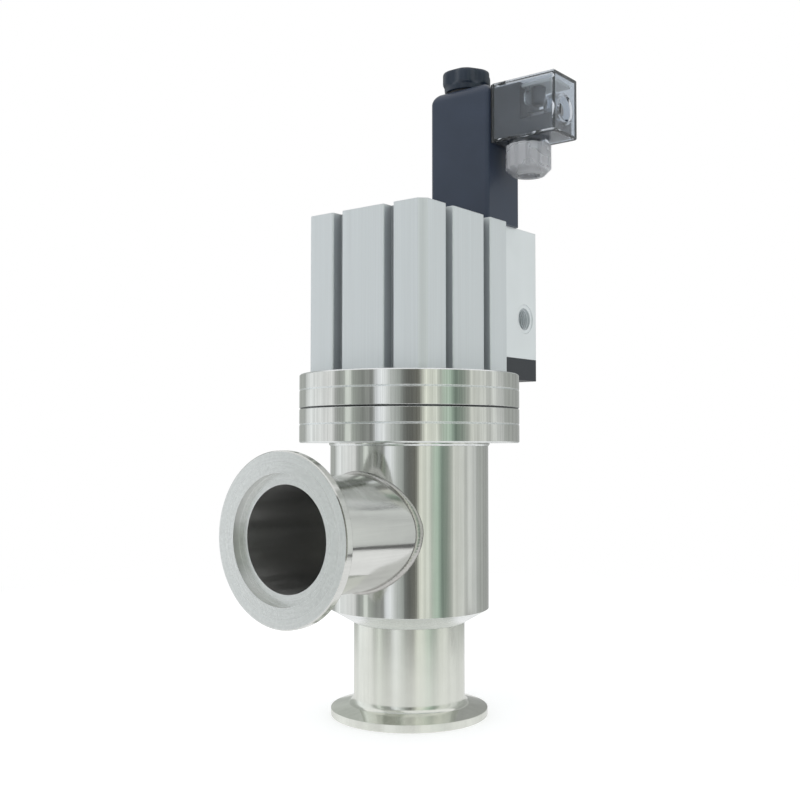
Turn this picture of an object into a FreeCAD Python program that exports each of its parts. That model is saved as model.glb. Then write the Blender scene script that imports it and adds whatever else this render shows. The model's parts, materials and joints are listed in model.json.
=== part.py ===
# Vacuum angle valve with bellows-sealed plate, square air cylinder and pilot solenoid valve.
# Millimetres. Origin at the centre of the inlet flange's sealing face, +Z up the valve axis.
# The outlet port points along -Y, the pilot valve stands on the +Y face, its plug points along +X.
import FreeCAD
import Part
import math
import os

from FreeCAD import Vector

# Axes
X_AXIS = Vector(1, 0, 0)
Y_AXIS = Vector(0, 1, 0)
Z_AXIS = Vector(0, 0, 1)

# Clearances
weld_fit = 0.02            # between welded or pressed round pieces
thread_gap = 0.05          # radial, screw in its thread
run_fit = 0.05             # radial, sliding pieces
rest_gap = 0.3             # between a moving face and its stop
hole_gap = 0.2             # radial, screw in a through hole
near = 0.001               # two places this close are one

# Vacuum flanges and port tubes
flange_d = 55.0
flange_rim = 2.7
flange_cone_deg = 15.0
flange_heel = 2.5          # fillet where the cone runs into the tube
rim_bevel = 0.35
recess_d = 41.2
recess_depth = 2.65
tube_d = 39.0
pipe_wall = 2.5
arm_length = 65.0          # inlet face to outlet axis
outlet_reach = 65.0        # valve axis to outlet face

# Valve chamber
chamber_d = 56.0
chamber_wall = 3.0
inlet_length = 32.3
chamber_cone_deg = 30.0
floor_rise = 2.8           # from the top of the outside cone to the inside floor
floor_corner = 2.0
seat_height = 1.0
seat_width = 3.5
weld_size = 1.5            # outlet saddle bead
weld_round = 1.0
neck_weld = 0.5            # bead between chamber and lower disc, radial
neck_weld_h = 1.1

# Clamped discs
neck_z = 95.0              # underside of the lower disc
lower_disc_t = 12.0
upper_disc_t = 12.0
disc_lip = 3.0             # of the lower disc over the chamber's end
disc_edge = 0.4
rim_groove = 0.3           # depth of the fine V-groove, also half its width
rim_groove_up = 6.4        # from the disc's underside
flange_screw_out = 3.9     # from the chamber seal out to the screw's axis
disc_rim_out = 6.0         # from there out to the rim
flange_screw_n = 8
seal_section = 2.6         # chamber seal, width of its groove
seal_depth = 2.1

# Socket screws
screw_d = 4.0
screw_head_d = 7.0
screw_head_h = 4.0
screw_key = 3.0            # across flats
screw_grip = 9.5           # engaged thread
drill_spare = 0.5          # of a tapped hole past its screw
head_sink = 0.4            # of the head below the surface
head_gap = 0.25            # radial, head in its counterbore

# Stem
stroke = 16.0
rod_d = 10.0
rod_nose = 3.0             # plate metal left under the rod
plate_d = 44.0
plate_t = 6.2
plate_seal = 2.6           # section of the plate's O-ring
hub_d = 24.0
hub_h = 2.5
bellows_d = 33.0
bellows_wall = 0.5
bellows_turns = 10
bellows_cuff = 2.5
boss_d = 19.0              # guide boss under the bonnet
boss_h = 7.0
bushing_d = 16.0
bushing_h = 13.0
rod_seal_d = 17.0
rod_seal_h = 4.5
spigot_h = 3.0
spigot_land = 0.7          # above and below the spigot's O-ring
breather_bore = 2.0

# Air cylinder
block_w = 52.0
block_chamfer = 2.4
slot_w = 4.0
slot_depth = 4.2
slot_x = 11.3
slot_edge = 0.35
cylinder_bore = 40.0
block_screw_x = 20.6
piston_t = 12.0
piston_play = 0.2          # radial
piston_gap = 3.0           # air space under the piston at rest
piston_groove = 2.4
piston_seal_h = 3.2
magnet_h = 3.0
land_h = 1.5
rod_end_d = 8.0
nut_key = 13.0
nut_h = 6.5
rod_over = 1.5             # of the rod past its nut
nut_room = 3.0             # over the raised rod, under the cylinder head
spring_d = 28.0
spring_wire = 2.2
spring_turns = 5.5
wire_sides = 8             # flats round a spring wire
spring_seat = 3.0          # depth of the seats at both ends
head_t = 8.2
head_space = 2.8           # block above the cylinder head
ring_t = 1.5
ring_w = 3.4
ring_lug = 2.6
ring_gap_deg = 24.0
air_d = 1.8

# Pilot solenoid valve
pilot_x = -2.5             # spool and coil axis
pilot_y = 40.0
pilot_w = 26.0
pilot_depth = 40.0
pilot_lift = 0.6           # of the end cap over the upper disc
pilot_h = 50.6
pilot_edge = 0.5
cap_h = 8.4
cap_screw_d = 3.0
cap_screw_key = 2.4
cap_screw_x = 8.8
cap_screw_in = 5.0         # from front and back
port_d = 8.56
port_depth = 9.0
port_spot_d = 11.4
port_spot = 0.4
port_y = 57.5
supply_up = 15.7           # above the body's underside
air_port_up = 4.5
channel_d = 2.4
port_channel_d = 1.8
port_ring_d = 6.2
port_ring_t = 1.1
exhaust_d = 5.0
exhaust_depth = 2.0
pilot_screw_x = 8.5
pilot_screw_low = 10.1     # above the body's underside
pilot_screw_high = 34.0
pilot_thread = 6.5
spool_d = 6.0
spool_neck_d = 3.0
spool_stroke = 3.0
pilot_wire_d = 0.5         # of both small springs
spool_spring_d = 4.5
spool_turns = 3
armature_spring_d = 3.6
armature_turns = 5
land_low = 2.2
groove_w = 3.4
groove_deep = 1.3
tube_flange_d = 16.0
tube_flange_h = 6.0
armature_d = 9.0
armature_l = 24.7
armature_drop = 1.6        # of the armature below its tube
tube_wall = 0.9
core_stud_d = 8.0
core_stud_h = 5.6
override_d = 5.0
override_tip_d = 1.6
override_reach = 1.5
override_slot = 0.8

# Coil
coil_x0 = -12.0
coil_x1 = 14.6
coil_y0 = 29.0
coil_y1 = 51.0
coil_h = 52.4
coil_corner = 4.5          # rounded top edge away from the plug
coil_round = 1.4
coil_nut_d = 19.6
coil_nut_h = 7.9
coil_nut_skirt = 2.0
nut_lobes = 6
nut_scallop_d = 14.0
nut_scallop_depth = 1.4
nut_dish = 1.2
coil_seal_t = 0.7
coil_seal_d = 15.0

# Plug
plug_x1 = 42.1
plug_y0 = 30.8
plug_y1 = 47.8
plug_drop = 1.0            # of the plug's top below the coil's
plug_h = 22.7
plug_round = 0.9
plug_wall = 1.4
gasket_t = 0.8
gasket_in = 0.4
insert_x1 = 27.0
insert_gap = 0.25
shelf_h = 5.6
shelf_x1 = 39.6
well_d = 9.6
well_depth = 4.6
well_wall = 1.1
plug_screw_up = 9.9        # above the plug's underside
plug_screw_d = 3.0
plug_head_d = 5.8
plug_head_h = 2.2
plug_screw_grip = 5.0
blade_w = 4.8
blade_t = 0.8
blade_l = 8.0
blade_off = 5.6            # of the two power blades from the screw's axis
board_t = 1.2
board_gap = 1.0            # under the plug's top wall
lamp_x = 29.4
lamp_in = 3.1             # from the plug's front face
lamp_d = 3.0
lamp_h = 4.4
lamp_lead = 2.6
lead_d = 0.5
cell_x = 32.0
cell_in = 6.6
cell_d = 5.2               # rounded component under the board
cell_h = 6.8
gland_x = 26.0
collar_d = 15.2
collar_h = 5.0
collar_bore_d = 12.4
gland_nut_d = 17.0
gland_nut_h = 11.0
gland_lap = 3.6            # of the nut over the collar
gland_ribs = 12
rib_valley_r = 0.9
rib_valley_out = 0.3       # of a valley's centre past the nut's surface
cord_hole_d = 8.0
gland_seal_h = 5.0
gland_washer_t = 1.0

# Levels and places that follow
bore_r = tube_d / 2 - pipe_wall
joint_z = neck_z + lower_disc_t
bonnet_z = joint_z + upper_disc_t
piston_room = piston_gap + piston_t + stroke
block_h = spigot_h + piston_room + nut_h + rod_over + nut_room + head_t + head_space
block_top = bonnet_z + block_h
half_block = block_w / 2
cone_top_z = inlet_length + (chamber_d - tube_d) / 2 * math.tan(math.radians(chamber_cone_deg))
floor_z = cone_top_z + floor_rise
seat_z = floor_z + seat_height
chamber_r = chamber_d / 2
chamber_bore_r = chamber_r - chamber_wall
chamber_seal_r = chamber_bore_r + disc_lip / 2
flange_screw_r = chamber_seal_r + seal_section + flange_screw_out
disc_r = flange_screw_r + disc_rim_out
chamber_end_z = joint_z - disc_lip
plate_z = seat_z + rest_gap
plate_top = plate_z + plate_t
hub_top = plate_top + hub_h
spigot_top = bonnet_z + spigot_h
piston_z = spigot_top + piston_gap
piston_top = piston_z + piston_t
piston_r = cylinder_bore / 2 - piston_play
head_top = block_top - head_space
head_z = head_top - head_t
rod_top = piston_top + nut_h + rod_over
pilot_z = bonnet_z + pilot_lift + cap_h
pilot_top = pilot_z + pilot_h
supply_z = pilot_z + supply_up
air_port_z = pilot_z + air_port_up
pilot_back = half_block + pilot_depth
cap_z = pilot_z - cap_h
coil_top = pilot_top + coil_h
plug_z1 = coil_top - plug_drop
plug_z0 = plug_z1 - plug_h
plug_screw_z = plug_z0 + plug_screw_up
tube_z = pilot_top - tube_flange_h
armature_z = tube_z - armature_drop
armature_top = armature_z + armature_l
core_z = armature_top + spool_stroke + rest_gap
armature_r = armature_d / 2
tube_bore_r = armature_r + 2 * run_fit
tube_r = tube_bore_r + tube_wall
spool_r = spool_d / 2
spool_bore_r = spool_r + run_fit
groove_r = spool_r + groove_deep
plug_x0 = coil_x1 + gasket_t
plug_y = (plug_y0 + plug_y1) / 2
gland_z0 = plug_z0 - collar_h + gland_lap - gland_nut_h
head_bore_r = screw_head_d / 2 + head_gap
head_sunk = screw_head_h + head_sink


# Basic solids
def cylinder(radius, low, high, x=0.0, y=0.0):
    return Part.makeCylinder(radius, high - low, Vector(x, y, low), Z_AXIS)


def rod_between(radius, start, end):
    along = end - start
    return Part.makeCylinder(radius, along.Length, start, along)


def ring(outer, inner, low, high, x=0.0, y=0.0):
    return cylinder(outer, low, high, x, y).cut(cylinder(inner, low, high, x, y))


def block(x0, x1, y0, y1, z0, z1):
    return Part.makeBox(x1 - x0, y1 - y0, z1 - z0, Vector(x0, y0, z0))


def turned(outline, x=0.0, y=0.0):
    # A closed outline of (radius, height) points, turned about a vertical axis.
    points = [Vector(x + r, y, z) for r, z in outline]
    face = Part.Face(Part.makePolygon(points + points[:1]))
    return face.revolve(Vector(x, y, 0), Z_AXIS, 360)


def hexagon(across, low, high, x=0.0, y=0.0):
    corner = across / math.sqrt(3)
    angles = [math.radians(60 * i) for i in range(6)]
    points = [Vector(x + corner * math.cos(a), y + corner * math.sin(a), low) for a in angles]
    return Part.Face(Part.makePolygon(points + points[:1])).extrude(Z_AXIS * (high - low))


def joined(*shapes):
    whole = shapes[0]
    for shape in shapes[1:]:
        whole = whole.fuse(shape)
    return whole.removeSplitter()


def lying(shape, axis, point):
    # Turns a solid made upright at the origin so that its +Z points along the axis at the point.
    copy = shape.copy()
    copy.Placement = FreeCAD.Placement(point, FreeCAD.Rotation(Z_AXIS, axis))
    return copy


def edges_like(shape, test):
    return [edge for edge in shape.Edges if test(edge)]


def circles_at(shape, radius, height):
    def matches(edge):
        box = edge.BoundBox
        flat = abs(box.ZMin - height) < near and abs(box.ZMax - height) < near
        return flat and abs(box.XMax - radius) < near

    return edges_like(shape, matches)


def is_upright(edge):
    along = edge.Vertexes[-1].Point - edge.Vertexes[0].Point
    return along.Length > 1.0 and abs(along.x) + abs(along.y) < 1e-6


def rounded_box(x0, x1, y0, y1, z0, z1, radius):
    body = block(x0, x1, y0, y1, z0, z1)
    return body.makeFillet(radius, edges_like(body, is_upright))


def socket_screw(diameter, head_d, head_h, key, length):
    # Upright, the underside of its head at the origin and the shank below.
    shank = cylinder(diameter / 2 - thread_gap, -length, 0)
    head = cylinder(head_d / 2, 0, head_h)
    return joined(shank, head).cut(hexagon(key, head_h / 2, head_h))


def spring_coil(mean_d, wire, turns, low, high, x=0.0, y=0.0):
    # Half turns, each tilted to rise its share, join smoothly. The wire's section has wire_sides flats.
    half_turns = round(turns * 2)
    r = mean_d / 2
    rise = (high - low - wire) / half_turns
    arcs = []
    side = 1
    z = low + wire / 2
    for _ in range(half_turns):
        crown = Vector(x, y + side * math.hypot(r, rise / 2), z + rise / 2)
        end = Vector(x - side * r, y, z + rise)
        arcs.append(Part.Arc(Vector(x + side * r, y, z), crown, end).toShape())
        z += rise
        side = -side
    corners = []
    for i in range(wire_sides + 1):
        turn = 2 * math.pi * i / wire_sides
        aside, up = wire / 2 * math.cos(turn), wire / 2 * math.sin(turn)
        corners.append(Vector(x + r + aside, y, low + wire / 2 + up))
    return Part.Wire(arcs).makePipeShell([Part.makePolygon(corners)], True, False)


# Vacuum flange on its tube, upright, sealing face down at height 0
def flange_and_tube(length):
    r = flange_d / 2
    tube_r_out = tube_d / 2
    slope = math.tan(math.radians(flange_cone_deg))
    cone_z = flange_rim + (r - tube_r_out) * slope
    outline = [
        (recess_d / 2, 0),
        (r - rim_bevel, 0),
        (r, rim_bevel),
        (r, flange_rim),
        (tube_r_out, cone_z),
        (tube_r_out, length),
        (bore_r, length),
        (bore_r, recess_depth),
        (recess_d / 2, recess_depth),
    ]
    body = turned(outline)
    return body.makeFillet(flange_heel, circles_at(body, tube_r_out, cone_z))


def inlet_port():
    return flange_and_tube(inlet_length)


def outlet_port():
    tube = flange_and_tube(outlet_reach)
    tube = lying(tube, Y_AXIS, Vector(0, -outlet_reach, arm_length))
    return tube.cut(cylinder(chamber_r + weld_fit, 0, joint_z))


def outlet_weld():
    # The bead follows the saddle where the outlet tube meets the chamber.
    tube_r_out = tube_d / 2 + weld_fit
    chamber_out = chamber_r + weld_fit
    start = Vector(0, -outlet_reach, arm_length)
    sleeve = rod_between(tube_r_out + weld_size, start, Vector(0, 0, arm_length))
    sleeve = sleeve.cut(rod_between(tube_r_out, start, Vector(0, 0, arm_length)))
    shell = ring(chamber_out + weld_size, chamber_out, arm_length - tube_d, arm_length + tube_d)
    bead = sleeve.common(shell)
    limit = weld_size / 2

    def is_outer(edge):
        box = edge.BoundBox
        point = edge.valueAt((edge.FirstParameter + edge.LastParameter) / 2)
        from_tube = math.hypot(point.x, point.z - arm_length) - tube_r_out
        from_chamber = math.hypot(point.x, point.y) - chamber_out
        return box.DiagonalLength > tube_d and from_tube > limit and from_chamber > limit

    return bead.makeFillet(weld_round, edges_like(bead, is_outer))


# Chamber: turned cup with cone, floor, raised seat and side hole
def valve_chamber():
    bore = bore_r
    outline = [
        (bore, inlet_length),
        (tube_d / 2, inlet_length),
        (chamber_r, cone_top_z),
        (chamber_r, chamber_end_z),
        (chamber_bore_r, chamber_end_z),
        (chamber_bore_r, floor_z),
        (bore + seat_width, floor_z),
        (bore + seat_width - seat_height / 2, seat_z),
        (bore, seat_z),
    ]
    side_hole = rod_between(bore, Vector(0, -chamber_d, arm_length), Vector(0, 0, arm_length))
    cup = turned(outline)
    cup = cup.makeFillet(floor_corner, circles_at(cup, chamber_bore_r, floor_z))
    return cup.cut(side_hole)


def flange_screw_places():
    step = 360.0 / flange_screw_n
    angles = [math.radians(step * (i + 0.5)) for i in range(flange_screw_n)]
    return [(flange_screw_r * math.cos(a), flange_screw_r * math.sin(a)) for a in angles]


def disc_rim(low, high):
    # Outer rim of a clamped disc with its edge bevels and fine groove, bottom to top.
    mid = low + rim_groove_up
    return [
        (disc_r - disc_edge, low),
        (disc_r, low + disc_edge),
        (disc_r, mid - rim_groove),
        (disc_r - rim_groove, mid),
        (disc_r, mid + rim_groove),
        (disc_r, high - disc_edge),
        (disc_r - disc_edge, high),
    ]


def chamber_flange():
    inner = chamber_seal_r
    outline = [
        (chamber_r + weld_fit, neck_z - neck_weld_h),
        (chamber_r + neck_weld, neck_z - neck_weld_h / 2),
        (chamber_r + neck_weld, neck_z),
    ]
    outline += disc_rim(neck_z, joint_z)
    outline += [
        (inner + seal_section, joint_z),
        (inner + seal_section, joint_z - seal_depth),
        (inner, joint_z - seal_depth),
        (inner, joint_z),
        (chamber_bore_r, joint_z),
        (chamber_bore_r, chamber_end_z),
        (chamber_r + weld_fit, chamber_end_z),
    ]
    disc = turned(outline)
    for x, y in flange_screw_places():
        disc = disc.cut(cylinder(screw_d / 2, joint_z - screw_grip - 1, joint_z, x, y))
    return disc


def chamber_seal():
    inner = chamber_seal_r
    return ring(inner + seal_section - hole_gap, inner + hole_gap, joint_z - seal_depth, joint_z)


# Bonnet: upper disc with guide boss below and cylinder spigot above
def bonnet_flange():
    bushing_r = bushing_d / 2
    spigot_r = cylinder_bore / 2 - hole_gap
    seal_r = rod_seal_d / 2
    step_r = rod_d / 2 + 2 * hole_gap
    bushing_top = joint_z - boss_h + bushing_h
    seal_low = spigot_top - rod_seal_h
    spigot_groove = spigot_r - piston_groove / 2
    outline = [
        (bushing_r, joint_z - boss_h),
        (boss_d / 2, joint_z - boss_h),
        (boss_d / 2, joint_z),
    ]
    outline += disc_rim(joint_z, bonnet_z)
    outline += [
        (spigot_r, bonnet_z),
        (spigot_r, bonnet_z + spigot_land),
        (spigot_groove, bonnet_z + spigot_land),
        (spigot_groove, spigot_top - spigot_land),
        (spigot_r, spigot_top - spigot_land),
        (spigot_r, spigot_top),
        (seal_r, spigot_top),
        (seal_r, seal_low),
        (step_r, seal_low),
        (step_r, bushing_top),
        (bushing_r, bushing_top),
    ]
    disc = turned(outline)
    for x, y in flange_screw_places():
        disc = disc.cut(cylinder(screw_d / 2 + hole_gap, joint_z, bonnet_z, x, y))
        disc = disc.cut(cylinder(head_bore_r, bonnet_z - head_sunk, bonnet_z, x, y))
    for x, y in block_screw_places():
        disc = disc.cut(cylinder(screw_d / 2, bonnet_z - screw_grip - drill_spare, bonnet_z, x, y))
    vent_y = (boss_d / 2 + hub_d / 2) / 2
    vent_z = joint_z + 2 * breather_bore
    disc = disc.cut(cylinder(breather_bore / 2, joint_z, vent_z, 0, vent_y))
    return disc.cut(rod_between(breather_bore / 2, Vector(0, vent_y, vent_z), Vector(0, disc_r, vent_z)))


def spigot_seal():
    spigot_r = cylinder_bore / 2 - hole_gap
    low = bonnet_z + spigot_land
    high = spigot_top - spigot_land
    return ring(cylinder_bore / 2 - weld_fit, spigot_r - piston_groove / 2 + weld_fit, low, high)


def flange_screws():
    length = head_seat_z() - (joint_z - screw_grip)
    screw = socket_screw(screw_d, screw_head_d, screw_head_h, screw_key, length)
    return [placed(screw, x, y, head_seat_z()) for x, y in flange_screw_places()]


def head_seat_z():
    return bonnet_z - head_sunk


def placed(shape, x, y, z):
    copy = shape.copy()
    copy.translate(Vector(x, y, z))
    return copy


def rod_bushing():
    low = joint_z - boss_h
    return ring(bushing_d / 2 - weld_fit, rod_d / 2 + run_fit, low, low + bushing_h)


def rod_seal():
    return ring(rod_seal_d / 2 - weld_fit, rod_d / 2 + run_fit, spigot_top - rod_seal_h, spigot_top)


# Valve stem: plate, bellows, rod and piston
def plate_seal_r():
    return bore_r + seat_width / 2


def valve_plate():
    rod_r = rod_d / 2 + weld_fit
    mid = plate_seal_r()
    half = plate_seal / 2
    outline = [
        (0, plate_z),
        (mid - half, plate_z),
        (mid - half, plate_z + plate_seal),
        (mid + half, plate_z + plate_seal),
        (mid + half, plate_z),
        (plate_d / 2 - disc_edge, plate_z),
        (plate_d / 2, plate_z + disc_edge),
        (plate_d / 2, plate_top - disc_edge),
        (plate_d / 2 - disc_edge, plate_top),
        (hub_d / 2, plate_top),
        (hub_d / 2, hub_top),
        (rod_r, hub_top),
        (rod_r, plate_z + rod_nose),
        (0, plate_z + rod_nose),
    ]
    return turned(outline)


def plate_oring():
    # Stands a little proud of the plate, just clear of the seat.
    radius = plate_seal / 2 - weld_fit
    return Part.makeTorus(plate_seal_r(), radius, Vector(0, 0, seat_z + run_fit + radius))


def stem_rod():
    low = plate_z + rod_nose
    shoulder = piston_z + land_h
    outline = [
        (0, low),
        (rod_d / 2, low),
        (rod_d / 2, shoulder),
        (rod_end_d / 2, shoulder),
        (rod_end_d / 2, rod_top - disc_edge),
        (rod_end_d / 2 - disc_edge, rod_top),
        (0, rod_top),
    ]
    return turned(outline)


def bellows():
    # Edge-welded leaves between two cuffs, as one folded wall.
    inner = hub_d / 2 + weld_fit
    outer = bellows_d / 2
    low = plate_top
    high = joint_z
    first = low + bellows_cuff
    pitch = (high - bellows_cuff - first) / bellows_turns
    fold_out = [(inner + bellows_wall, low)]
    fold_in = [(inner, low)]
    for i in range(bellows_turns):
        root = first + i * pitch
        crest = root + pitch / 2
        fold_out += [(inner + bellows_wall, root), (outer, crest)]
        fold_in += [(inner, root), (outer - bellows_wall, crest)]
    last = high - bellows_cuff
    fold_out += [(inner + bellows_wall, last), (inner + bellows_wall, high)]
    fold_in += [(inner, last), (inner, high)]
    return turned(fold_out + fold_in[::-1])


def piston():
    bore = cylinder_bore / 2
    groove = bore - piston_groove
    seal_low = piston_z + land_h
    seal_high = seal_low + piston_seal_h
    magnet_low = seal_high + land_h
    magnet_high = magnet_low + magnet_h
    seat_in = spring_d / 2 - spring_wire / 2 - rest_gap
    seat_out = spring_d / 2 + spring_wire / 2 + rest_gap
    outline = [
        (rod_d / 2 + weld_fit, piston_z),
        (piston_r, piston_z),
        (piston_r, seal_low),
        (groove, seal_low),
        (groove, seal_high),
        (piston_r, seal_high),
        (piston_r, magnet_low),
        (groove, magnet_low),
        (groove, magnet_high),
        (piston_r, magnet_high),
        (piston_r, piston_top),
        (seat_out, piston_top),
        (seat_out, piston_top - spring_seat),
        (seat_in, piston_top - spring_seat),
        (seat_in, piston_top),
        (rod_end_d / 2 + weld_fit, piston_top),
        (rod_end_d / 2 + weld_fit, piston_z + land_h),
        (rod_d / 2 + weld_fit, piston_z + land_h),
    ]
    return turned(outline)


def piston_seal():
    low = piston_z + land_h
    bore = cylinder_bore / 2
    return ring(bore - run_fit, bore - piston_groove + weld_fit, low, low + piston_seal_h)


def magnet_ring():
    low = piston_z + 2 * land_h + piston_seal_h
    bore = cylinder_bore / 2
    return ring(piston_r - hole_gap, bore - piston_groove + weld_fit, low, low + magnet_h)


def piston_nut():
    nut = hexagon(nut_key, piston_top, piston_top + nut_h)
    return nut.cut(cylinder(rod_end_d / 2 + weld_fit, piston_top, piston_top + nut_h))


def return_spring():
    return spring_coil(spring_d, spring_wire, spring_turns, piston_top - spring_seat, head_z + spring_seat)


# Air cylinder: slotted extrusion, bored for the piston
def block_screw_places():
    return [(sx * block_screw_x, sy * block_screw_x) for sx in (-1, 1) for sy in (-1, 1)]


def slot_cutter():
    # One slot in the -Y face with a small bevel along its mouth.
    face = -half_block
    half = slot_w / 2
    wide = half + slot_edge
    outline = [
        (-wide, face - 1),
        (-wide, face),
        (-half, face + slot_edge),
        (-half, face + slot_depth),
        (half, face + slot_depth),
        (half, face + slot_edge),
        (wide, face),
        (wide, face - 1),
    ]
    points = [Vector(x, y, bonnet_z) for x, y in outline]
    return Part.Face(Part.makePolygon(points + points[:1])).extrude(Z_AXIS * block_h)


def cylinder_barrel():
    body = block(-half_block, half_block, -half_block, half_block, bonnet_z, block_top)
    body = body.makeChamfer(block_chamfer, edges_like(body, is_upright))
    bore = cylinder_bore / 2
    groove_z = head_top
    groove_r_out = bore + ring_t
    cutter = turned([
        (0, bonnet_z),
        (bore, bonnet_z),
        (bore, groove_z),
        (groove_r_out, groove_z),
        (groove_r_out, groove_z + ring_t + hole_gap),
        (bore, groove_z + ring_t + hole_gap),
        (bore, block_top - disc_edge),
        (bore + disc_edge, block_top),
        (0, block_top),
    ])
    body = body.cut(cutter)
    for turn in (0, 90, -90):
        for side in (-slot_x, slot_x):
            slot = placed(slot_cutter(), side, 0, 0)
            slot.rotate(Vector(0, 0, 0), Z_AXIS, turn)
            body = body.cut(slot)
    for x, y in block_screw_places():
        body = body.cut(cylinder(screw_d / 2 + hole_gap, bonnet_z, block_top, x, y))
        body = body.cut(cylinder(head_bore_r, block_top - head_sunk, block_top, x, y))
    for x, z in pilot_screw_places():
        mouth = Vector(x, half_block, z)
        body = body.cut(rod_between(screw_d / 2, mouth - Y_AXIS * (pilot_thread + drill_spare), mouth))
    return body.cut(air_channel())


def air_channel():
    # Drilled at a slant from the pilot valve's seat down to the space under the piston.
    bore_y = math.sqrt((cylinder_bore / 2) ** 2 - pilot_x ** 2)
    inner = Vector(pilot_x, bore_y, spigot_top + piston_gap / 2)
    outer = Vector(pilot_x, half_block, air_port_z)
    overrun = (outer - inner).normalize() * air_d
    return rod_between(air_d / 2, inner - overrun, outer + overrun)


def block_screws():
    seat = block_top - head_sunk
    length = seat - (bonnet_z - screw_grip)
    screw = socket_screw(screw_d, screw_head_d, screw_head_h, screw_key, length)
    return [placed(screw, x, y, seat) for x, y in block_screw_places()]


def cylinder_head():
    bore = cylinder_bore / 2
    outer = bore - run_fit
    groove = bore - piston_groove
    seal_low = head_z + spring_seat
    seat_in = spring_d / 2 - spring_wire / 2 - rest_gap
    seat_out = spring_d / 2 + spring_wire / 2 + rest_gap
    vent = breather_bore
    pocket_r = 2 * breather_bore
    outline = [
        (vent, head_z),
        (seat_in, head_z),
        (seat_in, head_z + spring_seat),
        (seat_out, head_z + spring_seat),
        (seat_out, head_z),
        (outer, head_z),
        (outer, seal_low),
        (groove, seal_low),
        (groove, seal_low + seal_section),
        (outer, seal_low + seal_section),
        (outer, head_top),
        (pocket_r, head_top),
        (pocket_r, head_top - head_space),
        (vent, head_top - head_space),
    ]
    return turned(outline)


def head_seal():
    bore = cylinder_bore / 2
    low = head_z + spring_seat
    return ring(bore - weld_fit, bore - piston_groove + weld_fit, low, low + seal_section)


def breather():
    return cylinder(2 * breather_bore - weld_fit, head_top - head_space, head_top - disc_edge)


def retaining_ring():
    # Snap ring with two drilled lugs at its gap.
    outer = cylinder_bore / 2 + ring_t - hole_gap / 2
    low = head_top
    high = head_top + ring_t
    body = ring(outer, outer - ring_w, low, high)
    wedge_r = outer * 2
    half = math.radians(ring_gap_deg / 2)
    gap = [
        Vector(0, 0, low),
        Vector(wedge_r * math.sin(-half), -wedge_r * math.cos(half), low),
        Vector(wedge_r * math.sin(half), -wedge_r * math.cos(half), low),
    ]
    wedge = Part.Face(Part.makePolygon(gap + gap[:1])).extrude(Z_AXIS * ring_t)
    body = body.cut(wedge)
    lug_r = outer - ring_w
    lug_angle = half + ring_lug / lug_r
    for side in (-1, 1):
        x = side * lug_r * math.sin(lug_angle)
        y = -lug_r * math.cos(lug_angle)
        body = joined(body, cylinder(ring_lug, low, high, x, y))
    for side in (-1, 1):
        x = side * lug_r * math.sin(lug_angle)
        y = -lug_r * math.cos(lug_angle)
        body = body.cut(cylinder(ring_lug / 3, low, high, x, y))
    return body


# Pilot solenoid valve
def pilot_screw_places():
    low = pilot_z + pilot_screw_low
    high = pilot_z + pilot_screw_high
    return [(-pilot_screw_x, low), (pilot_screw_x, high)]


def cap_screw_places():
    near = half_block + cap_screw_in
    far = pilot_back - cap_screw_in
    return [(cap_screw_x, near), (-cap_screw_x, far)]


def pilot_body():
    x1 = pilot_w / 2
    body = block(-x1, x1, half_block, pilot_back, pilot_z, pilot_top)
    body = body.makeChamfer(pilot_edge, edges_like(body, is_upright))
    a_low = air_port_z - groove_w / 2
    p_low = supply_z - groove_w / 2
    spool_bore = turned([
        (0, pilot_z),
        (spool_bore_r, pilot_z),
        (spool_bore_r, a_low),
        (groove_r, a_low),
        (groove_r, a_low + groove_w),
        (spool_bore_r, a_low + groove_w),
        (spool_bore_r, p_low),
        (groove_r, p_low),
        (groove_r, p_low + groove_w),
        (spool_bore_r, p_low + groove_w),
        (spool_bore_r, armature_z - spool_stroke),
        (armature_r + rest_gap, armature_z - spool_stroke),
        (armature_r + rest_gap, tube_z),
        (tube_flange_d / 2, tube_z),
        (tube_flange_d / 2, pilot_top),
        (0, pilot_top),
    ], pilot_x, pilot_y)
    body = body.cut(spool_bore)
    face = Vector(x1, port_y, supply_z)
    body = body.cut(rod_between(port_spot_d / 2, face - X_AXIS * port_spot, face))
    body = body.cut(rod_between(port_d / 2, face - X_AXIS * port_depth, face))
    channel_start = Vector(pilot_x, pilot_back, supply_z)
    body = body.cut(rod_between(port_channel_d / 2, face, Vector(pilot_x, port_y, supply_z)))
    body = body.cut(rod_between(channel_d / 2, channel_start, Vector(pilot_x, pilot_y, supply_z)))
    body = body.cut(rod_between(channel_d / 2, Vector(pilot_x, half_block, air_port_z),
                                Vector(pilot_x, pilot_y, air_port_z)))
    body = body.cut(port_ring_pocket(port_ring_d / 2))
    for x, z in pilot_screw_places():
        back = Vector(x, pilot_back, z)
        body = body.cut(rod_between(screw_d / 2 + hole_gap, Vector(x, half_block, z), back))
        body = body.cut(rod_between(head_bore_r, back - Y_AXIS * head_sunk, back))
    for x, y in cap_screw_places():
        body = body.cut(cylinder(cap_screw_d / 2, pilot_z, pilot_z + cap_thread(), x, y))
    start = Vector(-x1, pilot_y, override_z())
    end = Vector(override_seat_x() + override_reach + rest_gap, pilot_y, override_z())
    return body.cut(rod_between(override_d / 2 + run_fit, start, end))


def cap_thread():
    return pilot_screw_low - screw_d


def port_ring_pocket(radius):
    start = Vector(pilot_x, half_block, air_port_z)
    return rod_between(radius, start, start + Y_AXIS * port_ring_t)


def port_seal():
    start = Vector(pilot_x, half_block, air_port_z)
    outer = port_ring_pocket(port_ring_d / 2 - weld_fit)
    return outer.cut(rod_between(channel_d / 2 + weld_fit, start, start + Y_AXIS * port_ring_t))


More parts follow.
